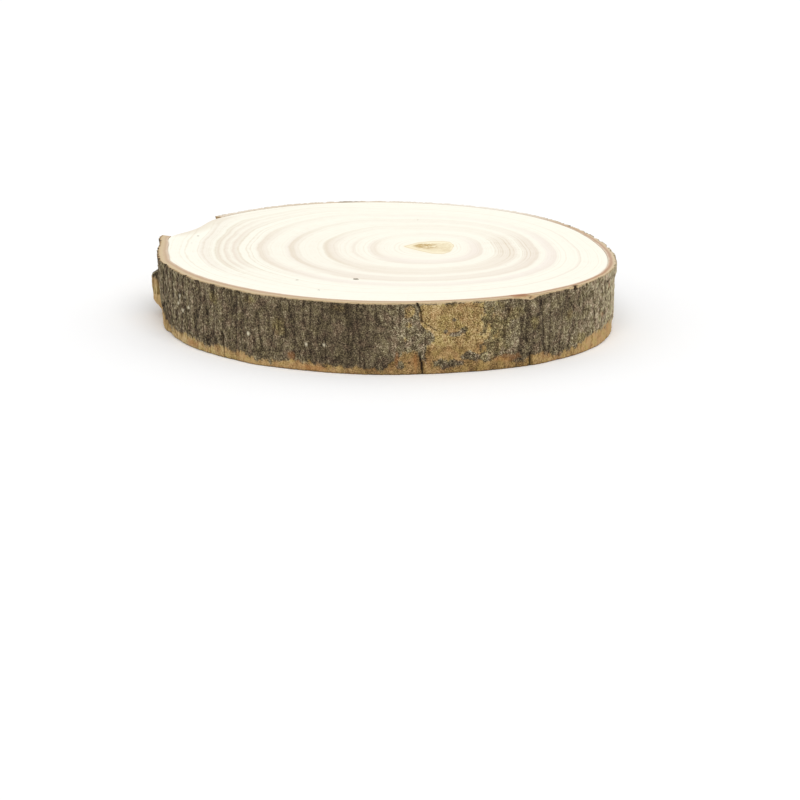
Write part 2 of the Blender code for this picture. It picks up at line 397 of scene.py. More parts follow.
# %% Say where the outer bark has flaked off
# Height in mm of the worn foot, for bearings round the trunk
FOOT_TOP = (
    (150, 3.4), (168, 4.5), (180, 7.0), (190, 7.4), (195, 4.4), (199, 3.3), (205, 3.4), (210, 4.2),
    (215, 3.7), (221, 2.9), (226, 4.0), (233, 3.4), (238, 2.0), (243, 2.3), (247, 3.6), (251, 3.0),
    (256, 2.6), (264, 2.4), (268, 2.0), (269.5, 1.2), (271, 4.0), (275, 8.2), (278, 7.2), (280, 3.0),
    (288, 1.8), (293, 3.4), (298, 4.5), (299.8, 4.2), (301.3, 2.4), (304.3, 1.7), (305.8, 4.2), (309, 4.0),
    (312, 2.6), (317, 2.7), (321, 3.5), (325, 4.9), (329, 5.6), (336, 6.5), (345, 5.0), (356, 3.2),
    (15, 3.9), (40, 2.5), (60, 3.4), (85, 2.6), (105, 4.0), (128, 2.8),
)
foot_bearings, foot_heights = np.array(sorted(FOOT_TOP)).T
FRONT_PATCH = (278.4, 294.4)  # bearings of the large flaked patch, which runs up to the top
# Islands of outer bark left in the patch: bearing, height, half width and half height in mm
PATCH_ISLANDS = (
    (289.0, 14.8, 1.3, 1.2), (286.6, 13.6, 2.0, 0.9), (284.6, 14.8, 0.8, 0.8), (286.6, 18.6, 1.0, 0.7),
    (285.6, 24.7, 1.4, 0.6), (281.4, 24.9, 3.6, 0.45), (290.4, 5.8, 3.6, 1.5), (283.2, 3.6, 2.8, 1.9),
    (286.8, 3.2, 3.4, 1.3), (280.8, 13.0, 1.5, 2.8),
)


def wedge_behind_plate(side):
    """The bare wedge of inner bark behind the loose plate at the left."""
    right_edge = 180.0 + 1.5 * np.sqrt(np.clip(16 - side["height"], 0, 12))
    wedge = smooth_step(1.5, -1.5, side["bearing"] - right_edge) * smooth_step(172, 176, side["bearing"])
    return wedge * smooth_step(3.5, 4.5, side["height"]) * (1 - smooth_step(15.2, 16, side["height"]))


def flaked(side):
    """How far the outer bark has flaked off: 0 none, 1 down to the inner bark."""
    bearing, height, ragged = side["bearing"], side["height"], side["ragged"]
    top = np.interp(bearing, foot_bearings, foot_heights, period=360)
    foot = 1 - smooth_step(-1.5, 1.5, height - top - 1.5 * ragged)
    left_edge = bearing - FRONT_PATCH[0] - 1.3 * smooth_step(19, 14, height)
    into = np.minimum(
        left_edge * MM_PER_DEGREE + 0.8 * ragged, (FRONT_PATCH[1] - bearing) * 0.5 + 1.7 * ragged,
    )
    patch = smooth_step(-0.5, 0.9, into) * (1 - smooth_step(24.0, 24.9, height + 0.6 * ragged))
    for island in PATCH_ISLANDS:
        patch = patch * (1 - 0.9 * spot(side, *island))
    beside = spot(side, 275.9, 12.5, 2.9, 9) * 0.8 + spot(side, 296.2, 13, 3.2, 9.5) * 0.6
    beside = np.maximum(smooth_step(0.0, 0.4, ragged) * beside, spot(side, 275.9, 21.8, 2.0, 2.4) * 0.7)
    foot = foot * (1 - spot(side, 273.6, 3.4, 1.5, 1.7))
    return np.clip(np.maximum.reduce([foot, patch, beside, wedge_behind_plate(side)]), 0, 1)


print("the worn foot is", foot_heights.min(), "to", foot_heights.max(), "mm high")

# %% [markdown]
# ### Cracks, chips and the loose plate
#
# Drying opens narrow cracks in bark, and the saw tears small chips from its upper edge. A knife cut or
# a Boolean for each would make a messy mesh. A depth worked out for every vertex keeps the mesh even,
# and is also kept for the colours, where it paints each crack and chip dark inside: painted shade.

# %% Cracks and chips
# Cracks: bearing at the top and at the foot, height in mm from and to, half width and depth in mm
CRACKS = (
    (278.5, 278.9, 0.0, 8.0, 0.26, 0.9),
    (277.5, 278.5, 22.0, 25.8, 0.24, 0.7),
    (278.4, 278.7, 18.4, 22.6, 0.24, 0.7),
    (282.2, 278.6, 18.7, 15.2, 0.24, 0.7),
    (284.6, 284.8, 23.6, 24.9, 0.26, 0.5),
    (286.7, 286.3, 23.6, 24.9, 0.55, 0.5),
    (306.0, 305.7, 0.0, 7.4, 0.28, 1.0),
    (304.4, 304.6, 8.5, 17.5, 0.22, 0.4),
    (225.7, 226.2, 0.0, 9.8, 0.26, 1.0),
    (319.7, 319.3, 23.9, 25.6, 1.00, 1.0),
    (305.6, 305.1, 24.0, 25.2, 0.30, 0.45),
    (60.0, 61.0, 0.0, 16.0, 0.20, 1.0),
    (118.0, 117.0, 6.0, 25.0, 0.20, 0.8),
)
# Chips out of the upper edge: bearing, half width, depth down and depth inwards in mm
CHIPS = (
    (210.0, 1.0, 1.0, 0.9), (286.5, 1.4, 0.5, 0.4), (196.0, 0.7, 0.7, 0.5), (187.5, 0.8, 1.0, 0.8),
    (343.0, 0.9, 0.6, 0.6), (95.0, 1.3, 0.9, 0.7), (52.0, 1.1, 0.8, 0.7),
)


def crack_depth(side):
    """Depth of the open cracks in mm."""
    depth = np.zeros(len(side["bearing"]))
    for top_bearing, foot_bearing, start, end, half_width, most in CRACKS:
        low, high = min(start, end), max(start, end)
        along = np.clip((side["height"] - start) / (end - start), 0, 1)
        middle = foot_bearing + (top_bearing - foot_bearing) * along + 0.3 * side["ragged"]
        aside = np.abs(aside_of(side, middle))
        there = smooth_step(low - 0.5, low + 0.2, side["height"])
        there = there * (1 - smooth_step(high - 0.7, high, side["height"]))
        depth = np.maximum(
            depth, most * there * (1 - smooth_step(half_width * 0.6, half_width + 0.25, aside)),
        )
    return depth


def chip_depth(side):
    """Depth in mm of the chips that the saw tore from the upper edge, and of its small teeth."""
    down = THICKNESS / MM - side["height"]
    depth = np.zeros(len(down))
    for bearing, half_width, deep_down, inwards in CHIPS:
        aside = np.abs(aside_of(side, bearing))
        there = 1 - smooth_step(0.3 * half_width, half_width, aside)
        there = there * (1 - smooth_step(0.4, 1.0, down / deep_down))
        depth = np.maximum(depth, inwards * there)
    teeth = smooth_step(0.1, 0.5, noise_at(side["place"] / (1.1, 1.1, 1e9), 6))
    return depth + 0.22 * teeth * (1 - smooth_step(0.1, 0.8, down))


print(len(CRACKS), "cracks and", len(CHIPS), "chips")

# %% The loose plate and the furrows
PLATE_BEARING, PLATE_HALF_WIDTH = 178.5, 5.5
PLATE_LOW, PLATE_HIGH, PLATE_LIFT = 5.0, 17.6, 3.0  # in mm
CALM_BEARING = 268  # the furrows are shallowest here, at the front


def plate_lift(side):
    """The loose plate at the left stands proud, most at its pointed upper end."""
    across = 1 - smooth_step(PLATE_HALF_WIDTH * 0.55, PLATE_HALF_WIDTH, np.abs(aside_of(side, PLATE_BEARING)))
    up = smooth_step(PLATE_LOW - 2.6, PLATE_LOW + 2.4, side["height"])
    down = 1 - smooth_step(PLATE_HIGH - 2.4, PLATE_HIGH, side["height"])
    return PLATE_LIFT * across * up * down


def roughness_at(bearings):
    """The furrows are deepest at the left and right, and the front is almost smooth."""
    calm = 0.5 + 0.5 * np.cos(np.radians(turn_between(bearings, CALM_BEARING)))
    return 1 - 0.55 * calm ** 2


def furrows(side):
    """Upright plates between furrows, wide ones and narrow ones: 0 in a furrow, 1 on a plate."""
    warp = 1.3 * noise_at(side["place"] / (6.0, 6.0, 9.0), 3)
    turn = np.radians(side["bearing"]) + warp / MEAN_RADIUS
    place = np.stack([MEAN_RADIUS * np.cos(turn), MEAN_RADIUS * np.sin(turn), side["height"]], axis=1)
    wide = np.abs(noise_at(place / (2.7, 2.7, 15.0), 4))
    narrow = np.abs(noise_at(place / (1.1, 1.1, 3.4), 5))
    return smooth_step(0, 0.2, wide), smooth_step(0, 0.22, narrow)


print("the plate stands proud by", PLATE_LIFT, "mm")

# %% Add up the relief
# How far in mm the foot stands out from under the upper edge, or back from it
LEAN = (
    (0, -0.1), (20, -0.4), (45, 0.35), (70, 0.7), (90, 0.5), (110, -0.1), (130, -0.8), (160, -1.2),
    (172, -1.7), (183, -2.0), (192, -1.7), (202, -0.5), (225, 0.35), (250, 0.7), (270, 0.5), (290, -0.1),
    (310, -0.75), (335, -1.0), (347, -0.3),
)
# How far in mm the upper edge stands out
RIM_LIFT = ((330, 0), (342, 0.6), (352, 0.9), (5, 0.7), (15, 0.1), (30, 0), (180, 0))
FURROW_DEPTH, LITTLE_FURROW_DEPTH, GRAIN_DEPTH = 0.85, 0.45, 0.22
# The lowest edge is set back by FOOT_RECESS, and the same depth paints that strip dark: painted shade under the
# edge
FOOT_RECESS = 0.40  # of the lowest edge, where the bark is crumbled


def relief(side):
    """How far in mm the bark lies outside its outline, how near a plate's top it is, worn and crack depth."""
    wide, narrow = furrows(side)
    worn = flaked(side)
    height = side["height"]
    rough = roughness_at(side["bearing"]) * (1 - 0.7 * worn)
    out = rough * (FURROW_DEPTH * (wide - 0.75) + LITTLE_FURROW_DEPTH * (narrow - 0.7))
    out = out + GRAIN_DEPTH * noise_at(side["place"] / (0.8, 0.8, 1.4), 7)
    out = out + at_bearing(round_table(LEAN, 6), side["bearing"]) * (1 - height / 25)
    out = out + at_bearing(round_table(RIM_LIFT, 3), side["bearing"]) * smooth_step(19.5, 22.5, height)
    out = out + plate_lift(side)
    out = out - worn * np.where(side["bearing"] < 195, 0.0, np.where(height < 9, 0.4, 0.2))
    deep = crack_depth(side) + chip_depth(side)
    deep = np.maximum(deep, FOOT_RECESS * (1 - smooth_step(0.1, 0.6, height + 0.15 * side["ragged"])))
    return out - deep, wide * (0.5 + 0.5 * narrow), worn, deep


# %% [markdown]
# ### Model the ring
#
# The outer wall is a tube again, with a column every 0.4 mm and a row every 0.45 mm, which is about as
# fine as the real furrows. The sawn faces are extruded inwards from its rims in steps, so that the
# material can tell the layers of the bark apart, and the inner wall comes down between them.

# %% Model the outer wall and press the relief into it
BARK_COLUMNS = 1200
BARK_ROWS = 56
LEAST_BARK = 0.5 * MM
BARK_TO_WOOD = 0.2 * MM

bark = add_tube("bark_ring", BARK_COLUMNS, BARK_ROWS)
bark_inner = wood_reach + BARK_TO_WOOD
points = points_of(bark.data)
side = describe(points)
out, _, _, _ = relief(side)
least_radii = at_bearing(wood_reach, side["bearing"]) + BARK_TO_WOOD + LEAST_BARK
radii = np.maximum(at_bearing(bark_reach, side["bearing"]) + out * MM, least_radii)
points[:, :2] = round_trunk(side["bearing"], radii)
set_points(bark.data, points)
print(
    "bark wall:", len(bark.data.polygons), "faces, relief from", out.min().round(2), "to",
    out.max().round(2), "mm",
)

# %% Extrude the sawn faces inwards, and the inner wall down between them
CUT_STEPS = 6  # faces across the thickness of the bark


def extrude_sawn_face(piece, height):
    """Extrudes the rim at this height inwards, step by step, as far as the wood; leaves edit mode on."""
    pick_edges(piece, lambda a, b: abs(a.z - height) < 1e-6 and abs(b.z - height) < 1e-6)
    bpy.ops.object.mode_set(mode="OBJECT")
    rim = points_of(piece.data)
    rim = rim[np.abs(rim[:, 2] - height) < 1e-6]
    rim_bearings, rim_radii = polar(rim, TRUNK_AXIS)
    order = np.argsort(rim_bearings)
    for share in np.linspace(1, 0, CUT_STEPS + 1)[1:]:
        bpy.ops.object.mode_set(mode="EDIT")
        bpy.ops.mesh.extrude_region_move()
        bpy.ops.object.mode_set(mode="OBJECT")
        chosen = np.empty(len(piece.data.vertices), bool)
        piece.data.vertices.foreach_get("select", chosen)
        points = points_of(piece.data)
        bearings, _ = polar(points[chosen], TRUNK_AXIS)
        outer = np.interp(bearings, rim_bearings[order], rim_radii[order], period=360)
        inner = at_bearing(bark_inner, bearings)
        points[chosen, :2] = round_trunk(bearings, inner + share * (outer - inner))
        set_points(piece.data, points)
    bpy.ops.object.mode_set(mode="EDIT")


extrude_sawn_face(bark, 0)
bpy.ops.object.mode_set(mode="OBJECT")
extrude_sawn_face(bark, THICKNESS)
bpy.ops.mesh.extrude_region_move(TRANSFORM_OT_translate={"value": (0, 0, -THICKNESS)})
bpy.ops.mesh.select_all(action="SELECT")
bpy.ops.mesh.remove_doubles(threshold=1e-5)
bpy.ops.mesh.normals_make_consistent(inside=False)
bpy.ops.object.mode_set(mode="OBJECT")
print("bark ring:", len(bark.data.polygons), "faces")

# %% [markdown]
# ## Break the bark away at the back left
#
# A stretch of bark has come off there and bares the wood. Bark tears along its fibres, so the edge is
# ragged. Deleting faces would leave steps as wide as a face. So a ragged block, drawn as a flat outline
# and extruded through the bark, is cut away with a Boolean modifier, and the cut gets its own slot for
# the material of torn bark.

# %% Draw the ragged outline and extrude it to a block
GAP_BEARING = math.radians(151)
# Rows of place along the side and height, in mm
GAP_OUTLINE = (
    (-18.4, 29.0), (-17.3, 21.2), (-18.8, 15.8), (-15.0, 10.4), (-11.0, 8.7), (-8.0, 4.9), (-2.4, 6.6),
    (3.0, 4.1), (8.0, 7.2), (12.0, 6.9), (15.2, 11.7), (14.5, 16.3), (18.0, 21.4), (19.3, 29.0),
)
RAGGED_STEPS = 7

outline = np.array(GAP_OUTLINE)
ragged = []
for start, end in zip(outline[:-1], outline[1:]):
    for step in range(RAGGED_STEPS):
        place = start + (end - start) * step / RAGGED_STEPS
        wobble = Vector((place[0] / 1.7, place[1] / 1.7, 3.3))
        ragged.append(place + (0.5 * noise.noise(wobble), 0.8 * noise.noise(wobble + Vector((9, 9, 9)))))
ragged.append(outline[-1])
outward = Vector((math.cos(GAP_BEARING), math.sin(GAP_BEARING), 0))
along = Vector((-outward.y, outward.x, 0))
bpy.ops.object.select_all(action="DESELECT")
bpy.ops.mesh.primitive_circle_add(vertices=len(ragged), radius=0.01, fill_type="NGON")
cutter = bpy.context.object
for vertex, (aside, height) in zip(cutter.data.vertices, ragged):
    vertex.co = TRUNK_AXIS + outward * 0.05 + along * aside * MM + Vector((0, 0, height * MM))
bpy.ops.object.mode_set(mode="EDIT")
bpy.ops.mesh.select_all(action="SELECT")
bpy.ops.mesh.extrude_region_move(TRANSFORM_OT_translate={"value": outward * 0.06})
bpy.ops.mesh.select_all(action="SELECT")
bpy.ops.mesh.normals_make_consistent(inside=False)
bpy.ops.object.mode_set(mode="OBJECT")
print("ragged block:", len(cutter.data.polygons), "faces")

# %% Give each face its slot, and cut the block away
ROUGH, CUT, TORN = 0, 1, 2  # the material slots of the bark
LARGE_FACE = 5e-6  # only the inner wall has faces larger than this, in square metres

for name in ("rough", "cut", "torn"):
    placeholder = bpy.data.materials.new(name)
    bark.data.materials.append(placeholder)
    cutter.data.materials.append(placeholder)
cutter.data.polygons.foreach_set("material_index", [TORN] * len(cutter.data.polygons))
slots = []
for face in bark.data.polygons:
    flat = abs(face.center.z) < 1e-6 or abs(face.center.z - THICKNESS) < 1e-6
    inwards = face.normal.dot(face.center - TRUNK_AXIS) < 0 and abs(face.normal.z) < 0.01
    slots.append(CUT if flat else TORN if inwards and face.area > LARGE_FACE else ROUGH)
bark.data.polygons.foreach_set("material_index", slots)

bpy.context.view_layer.objects.active = bark
gap = bark.modifiers.new("broken_away", "BOOLEAN")
gap.object = cutter
gap.operation = "DIFFERENCE"
gap.solver = "EXACT"
bpy.ops.object.modifier_apply(modifier=gap.name)
bpy.data.objects.remove(cutter)
bpy.ops.object.select_all(action="DESELECT")
bark.select_set(True)
bpy.ops.object.shade_smooth_by_angle(angle=math.radians(50))
print("bark with its missing stretch:", len(bark.data.polygons), "faces")

# %% Marks on the bark
# Kind, then bearing, height in mm, half width and half height in mm
MARKS = {
    "rust": (
        (246.8, 4.8, 1.3, 1.5), (213.0, 1.6, 3.4, 1.1), (277.3, 4.0, 0.7, 4.2), (272.8, 5.5, 0.6, 2.8),
        (305.8, 24.4, 1.3, 0.5), (303.2, 25.0, 3.4, 0.45), (299.5, 4.0, 4.6, 1.4), (336.5, 19.8, 1.0, 0.8),
        (331.8, 11.2, 1.2, 0.9), (252.0, 1.2, 5.0, 0.9), (187.0, 24.3, 1.0, 0.6), (110.0, 4.0, 2.5, 1.8),
        (60.0, 3.0, 3.0, 1.6), (20.0, 5.0, 1.5, 2.0),
    ),
    "moss": (
        (296.4, 14.0, 5.4, 9.6), (301.2, 19.4, 3.4, 2.4), (235.0, 22.6, 2.2, 1.4), (259.0, 22.8, 3.0, 1.2),
        (243.5, 14.5, 2.6, 3.2), (222.5, 20.5, 2.0, 2.4), (317.5, 15.4, 1.3, 1.8), (290.0, 18.0, 2.4, 3.6),
        (306.6, 15.0, 1.4, 2.4), (322.0, 6.2, 4.0, 1.8), (75.0, 14.0, 4.0, 6.0), (28.0, 18.0, 3.0, 4.0),
        (120.0, 17.0, 3.0, 5.0),
    ),
    "fleck": (
        (206.2, 16.5, 0.65, 0.55), (207.0, 15.5, 0.50, 0.60), (209.7, 17.1, 0.50, 0.50),
        (206.0, 13.9, 0.50, 0.60), (208.6, 12.0, 0.45, 0.60), (212.0, 14.1, 0.60, 0.55),
        (234.7, 10.7, 0.60, 0.45), (250.7, 9.4, 0.42, 0.60), (255.3, 9.7, 0.42, 0.55),
        (99.0, 15.0, 0.5, 0.6), (45.0, 9.0, 0.4, 0.6),
    ),
    "dark": (
        (308.5, 22.0, 2.4, 1.6), (300.0, 21.8, 1.9, 1.6), (333.0, 10.0, 2.6, 4.2), (99.6, 25.0, 3.6, 2.0),
        (216.0, 9.0, 2.4, 4.0), (281.0, 15.2, 0.5, 1.4), (290.5, 2.0, 9.0, 2.6), (266.0, 1.6, 4.5, 1.4),
        (303.0, 2.0, 4.0, 2.0),
    ),
}
# How light the bark is, for bearings round the trunk
TONE = (
    (180, 0.06), (196, 0.06), (208, 0.09), (216, 0.06), (226, 0.03), (238, 0.05), (252, -0.02),
    (262, -0.06), (269, 0.0), (274, 0.06), (277, 0.09), (285, 0.05), (296, 0.06), (301, 0.04), (306, 0.04),
    (313, 0.05), (320, 0.12), (326, 0.22), (335, 0.33), (345, 0.39), (354, 0.30), (20, 0.1), (30, 0.06),
    (90, 0.02), (140, 0.06),
)
# How much lighter than that the worn foot is
FOOT_TONE = (
    (180, 0.20), (208, 0.24), (215, 0.24), (223, 0.21), (231, 0.12), (243, 0.06), (256, 0.12), (265, 0.02),
    (270, -0.10), (276, -0.24), (282, -0.12), (290, -0.08), (301, -0.09), (313, 0.02), (325, 0.06),
    (345, 0.06), (30, 0.0), (140, 0.1),
)
# How upright the fibres run
UPRIGHT = (
    (180, 1.4), (195, 1.3), (206, 1.0), (222, 0.6), (245, 0.4), (262, 0.05), (290, 0.0), (300, 0.25),
    (312, 0.45), (328, 0.8), (340, 1.25), (0, 1.3), (60, 1.1), (150, 1.3),
)
# How strongly light and dark differ
CONTRAST = (
    (180, 1.15), (205, 1.1), (225, 1.02), (250, 0.96), (262, 0.90), (269, 0.98), (276, 1.3), (297, 1.25),
    (304, 1.05), (325, 1.05), (345, 1.1), (90, 1.1),
)
# How red-brown the inner layer of the sawn bark is, round the trunk
MAUVE = (
    (150, 0.1), (172, 0.0), (190, 0.1), (205, 0.35), (262, 0.4), (300, 0.7), (330, 0.9), (0, 0.95),
    (30, 0.8), (60, 0.4), (110, 0.2),
)
# How pale the sawn bark is at the back
PALER = (
    (335, 0.0), (350, 0.12), (12, 0.12), (30, 0.03), (36, 0.15), (48, 0.5), (59, 0.85), (74, 0.75),
    (87, 0.45), (99, 0.2), (113, 0.3), (126, 0.5), (134, 0.5), (142, 0.2), (150, 0.0),
)
# How far in mm the light sawn edge reaches down the side
LIP = (
    (150, 0.0), (195, 0.0), (215, 0.25), (240, 0.35), (262, 0.45), (290, 0.5), (301, 0.5), (303.2, 0.9),
    (305.2, 1.8), (306.2, 1.3), (307.4, 0.5), (316.8, 0.4), (318.4, 0.9), (320.4, 1.1), (321.6, 0.4),
    (330, 0.2), (345, 0.1), (30, 0.0),
)


def marked(side, kind):
    """How much of a kind of mark lies at each point, from 0 to 1."""
    found = np.zeros(len(side["bearing"]))
    for bearing, height, half_width, half_height in MARKS[kind]:
        found = np.maximum(found, spot(side, bearing, height, half_width, half_height))
    return found


print("marks:", {kind: len(spots) for kind, spots in MARKS.items()})

# %% Keep the numbers that the bark's materials read
points = points_of(bark.data)
side = describe(points)
_, ridge, worn, deep = relief(side)
_, radii = polar(points, TRUNK_AXIS)
inner_radii = at_bearing(bark_inner, side["bearing"])
outer_radii = at_bearing(bark_reach + round_table(RIM_LIFT, 3) * MM, side["bearing"])
across = np.clip((radii - inner_radii) / (outer_radii - inner_radii), 0, 1)
low = 1 - smooth_step(5, 11, side["height"])
low = low * (1 - 0.7 * smooth_step(236, 224, side["bearing"]) * smooth_step(185, 200, side["bearing"]))
# The wedge behind the plate is painted lighter here: painted light on a side that the sun leaves darker
tone = at_bearing(round_table(TONE, 2), side["bearing"]) + 0.2 * wedge_behind_plate(side)
tone = tone + worn * (side["height"] < 9) * (0.05 + at_bearing(round_table(FOOT_TONE, 3), side["bearing"]))
upright = at_bearing(round_table(UPRIGHT, 4), side["bearing"])
# Small holes in the sawn bark, painted dark inside as painted shade: bearing, half width in mm, place and
# half depth as shares of the bark's thickness, how soft the edge is, and how dark the painted shade inside is
HOLES = ((319.6, 1.5, 0.82, 0.30, 1.3, 1.0), (303.8, 2.4, 0.6, 0.14, 1.4, 0.7))
hole_shade = np.zeros(len(points))
for bearing, half_width, middle, half_depth, edge, darkness in HOLES:
    beside = turn_between(side["bearing"], bearing) * MM_PER_DEGREE
    away = np.hypot(beside / half_width, (across - middle) / half_depth)
    hole_shade = np.maximum(hole_shade, darkness * (1 - smooth_step(0.5, edge, away)))
for name, values in (
    # The ridge number paints the furrows darker and the plate tops lighter: painted shade and light
    ("ridge", 1 - (1 - ridge) * roughness_at(side["bearing"]) * (0.85 + 0.4 * np.clip(upright, 0, 1))),
    # The crack number paints cracks, chips and the set-back lowest edge dark: painted shade
    ("flaked", worn), ("crack", np.clip(deep / 0.6, 0, 1)), ("across", across), ("low", low), ("tone", tone),
    ("upright", upright), ("rust", marked(side, "rust")), ("moss", marked(side, "moss")),
    ("fleck", marked(side, "fleck")), ("dark", marked(side, "dark")),
    ("contrast", at_bearing(round_table(CONTRAST, 3), side["bearing"]) * (1 - 0.35 * worn * (side["height"] < 9))),
    ("mauve", at_bearing(round_table(MAUVE, 6), side["bearing"])),
    ("lip", at_bearing(round_table(LIP, 0.5), side["bearing"])),
    ("paler", at_bearing(round_table(PALER, 3), side["bearing"])),
    ("hole_shade", hole_shade * (side["height"] > 24.5)),
):
    store(bark.data, name, values)
print("bark attributes:", [one.name for one in bark.data.attributes if one.data_type == "FLOAT"])

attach(bark, "root")
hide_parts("bark")

# %% [markdown]
# ## Materials
#
# A slice has five kinds of surface: end grain that was sawn and sanded, the bare outside of the wood,
# rough bark as it grew, bark that the saw went through, and bark that was torn. Each gets a material of
# its own. A picture laid over the model would be quicker, but it would stretch down the sides and keep
# the light that it was taken in. Patterns made of nodes, sized from the real thing in millimetres, stay
# sharp from any side. One small function adds a node with its settings and its links.

# %% The node helper
def colour(hex_code):
    """An sRGB hex colour as the linear one that a shader takes."""
    channels = [int(hex_code[start:start + 2], 16) / 255 for start in (1, 3, 5)]
    linear = [c / 12.92 if c <= 0.04045 else ((c + 0.055) / 1.055) ** 2.4 for c in channels]
    return (*linear, 1.0)




def add_node(tree, kind, inputs=None, stops=None, **settings):
    """Adds a node. A value in inputs is set, a socket is linked, and stops fill a colour ramp."""
    made = tree.nodes.new(kind)
    for name, value in settings.items():
        setattr(made, name, value)
    for name, value in (inputs or {}).items():
        socket = next(one for one in made.inputs if name in (one.identifier, one.name))
        if isinstance(value, bpy.types.NodeSocket):
            tree.links.new(value, socket)
        else:
            socket.default_value = value
    if stops:
        ramp = made.color_ramp
        while len(ramp.elements) < len(stops):
            ramp.elements.new(0.5)
        for element, (position, hex_code) in zip(ramp.elements, stops):
            element.position = position
            element.color = colour(hex_code)
    return made


def new_material(name):
    """An empty material's node tree, with its shader already wired up."""
    material = bpy.data.materials.new(name)
    material.use_nodes = True
    return material, material.node_tree, material.node_tree.nodes["Principled BSDF"]


# %% [markdown]
# ### Sawn end grain
#
# A growth ring is one year of the tree: a wide pale layer of fast growth, and a thin darker line where
# it slowed down. Rings follow the trunk's outline. Here they crowd together to the left and are broad to
# the right. A Wave texture could draw them, but only as even circles. So the share of the way from
# pith to rim, which each vertex remembers, is bent a little, rippled by noise and looked up in a
# colour ramp, where each pair of stops is one ring. Two ramps, one for each side, are mixed by bearing.

# %% Material: sawn and sanded end grain
PALE = "#fffcee"
# The year's rings from pith to rim. To the left they crowd together; at the front and right they are broad
LEFT_RINGS = (
    (0.000, "#f9f0da"), (0.160, "#fefaec"), (0.226, "#fcf6e8"), (0.240, "#f0e5d4"), (0.262, "#f6ede0"),
    (0.276, "#fefaec"), (0.316, "#fdf8ea"), (0.328, "#f2e8d9"), (0.341, "#fdf8ea"), (0.384, "#fcf6e8"),
    (0.400, "#f5ecde"),
    (0.420, "#f2e8d9"), (0.438, "#e6d9c5"), (0.450, "#fcf7e9"), (0.532, "#fcf7e9"), (0.552, "#f4ebdd"),
    (0.572, "#e6d9c6"),
    (0.582, "#f6eee1"), (0.600, "#fdf9eb"), (0.648, "#fcf7e9"), (0.664, "#f5ecde"), (0.688, "#ebdfce"),
    (0.702, "#fdf9eb"),
    (0.752, "#fdf9eb"), (0.782, "#ebdfcf"), (0.790, "#fdf9eb"), (0.811, "#ebdfcf"), (0.818, "#fdf9eb"),
    (0.838, "#e8dcca"), (0.845, "#fdfaec"),
    (0.889, "#f5ede0"), (0.905, "#fffcee"),
)
RIGHT_RINGS = (
    (0.000, "#f9f0da"), (0.100, "#fbf5e4"), (0.140, "#fefaec"), (0.200, "#fdf8ea"), (0.225, "#f7ede2"),
    (0.262, "#f4e9de"),
    (0.280, "#efe3d4"), (0.290, "#f9f2e5"), (0.302, "#fefaec"), (0.352, "#fdf9eb"), (0.378, "#f5ecdd"),
    (0.425, "#f3e9da"),
    (0.465, "#f1e6d6"), (0.480, "#f6eddf"), (0.494, "#fdf9eb"), (0.515, "#fcf7e9"), (0.532, "#f2e8da"),
    (0.565, "#f3e9dc"),
    (0.596, "#ecdfcf"), (0.608, "#f8f1e4"), (0.620, "#fefaec"), (0.640, "#fdf8eb"), (0.658, "#f8efe5"),
    (0.690, "#f5ebe0"),
    (0.703, "#f2e7db"), (0.716, "#fdf9ec"), (0.740, "#fffbed"), (0.830, "#fffbed"), (0.840, "#f5ecde"),
    (0.849, "#fffbed"),
)
# Dark specks in the wood: place and radius in mm
SPECKS = (
    (-8.4, -45.3, 1.0), (-28.8, -46.8, 0.5), (-20.9, -61.7, 0.55), (-66.0, 22.4, 0.5), (-67.9, 11.0, 0.4),
    (13.3, 49.0, 0.4), (44.0, -24.0, 0.35),
)

# End grain of a pale hardwood, sawn across and lightly sanded: matt, nearly white, and only faintly rough
end_grain, tree, shader = new_material("sanded_end_grain")
place = add_node(tree, "ShaderNodeTexCoord").outputs["Object"]
read = {
    name: add_node(tree, "ShaderNodeAttribute", attribute_name=name).outputs["Fac"]
    for name in (
        "share", "bend", "ring_cut", "ring_show", "leftward", "almond", "gold", "gold_deep", "mottled",
        "stain",
    )
}


def mix_in(tree, share, below, above, blend="MIX"):
    """Lays one colour over another by a share, and gives back the colour that comes out."""
    mixed = add_node(
        tree, "ShaderNodeMix", {"Factor_Float": share, "A_Color": below, "B_Color": above},
        data_type="RGBA", blend_type=blend,
    )
    return next(one for one in mixed.outputs if one.identifier == "Result_Color")


def sum_of(tree, start, *terms):
    """A number plus each source times its weight."""
    total = start
    for source, weight in terms:
        total = add_node(
            tree, "ShaderNodeMath", {"Value": source, "Value_001": weight, "Value_002": total},
            operation="MULTIPLY_ADD",
        ).outputs[0]
    return total


rest = add_node(
    tree, "ShaderNodeMath", {"Value": 1.0, "Value_001": read["share"]}, operation="SUBTRACT",
).outputs[0]
bulge = add_node(
    tree, "ShaderNodeMath", {"Value": read["share"], "Value_001": rest}, operation="MULTIPLY",
).outputs[0]
ring = sum_of(tree, read["share"], (read["ring_cut"], 1.0), (bulge, read["bend"]))
wave = add_node(
    tree, "ShaderNodeTexNoise", {"Vector": place, "Scale": 0.045 / MM, "Detail": 2.0},
).outputs["Fac"]
ripple = add_node(
    tree, "ShaderNodeTexNoise", {"Vector": place, "Scale": 0.3 / MM, "Detail": 2.0},
).outputs["Fac"]
even_ring = sum_of(tree, -0.013, (ring, 1.0), (wave, 0.026))
ring = sum_of(tree, -0.005, (even_ring, 1.0), (ripple, 0.010))
left_bands = add_node(tree, "ShaderNodeValToRGB", {"Fac": ring}, stops=LEFT_RINGS).outputs["Color"]
right_bands = add_node(tree, "ShaderNodeValToRGB", {"Fac": ring}, stops=RIGHT_RINGS).outputs["Color"]
bands = mix_in(tree, read["leftward"], right_bands, left_bands)
wood_colour = mix_in(tree, read["ring_show"], colour(PALE), bands)

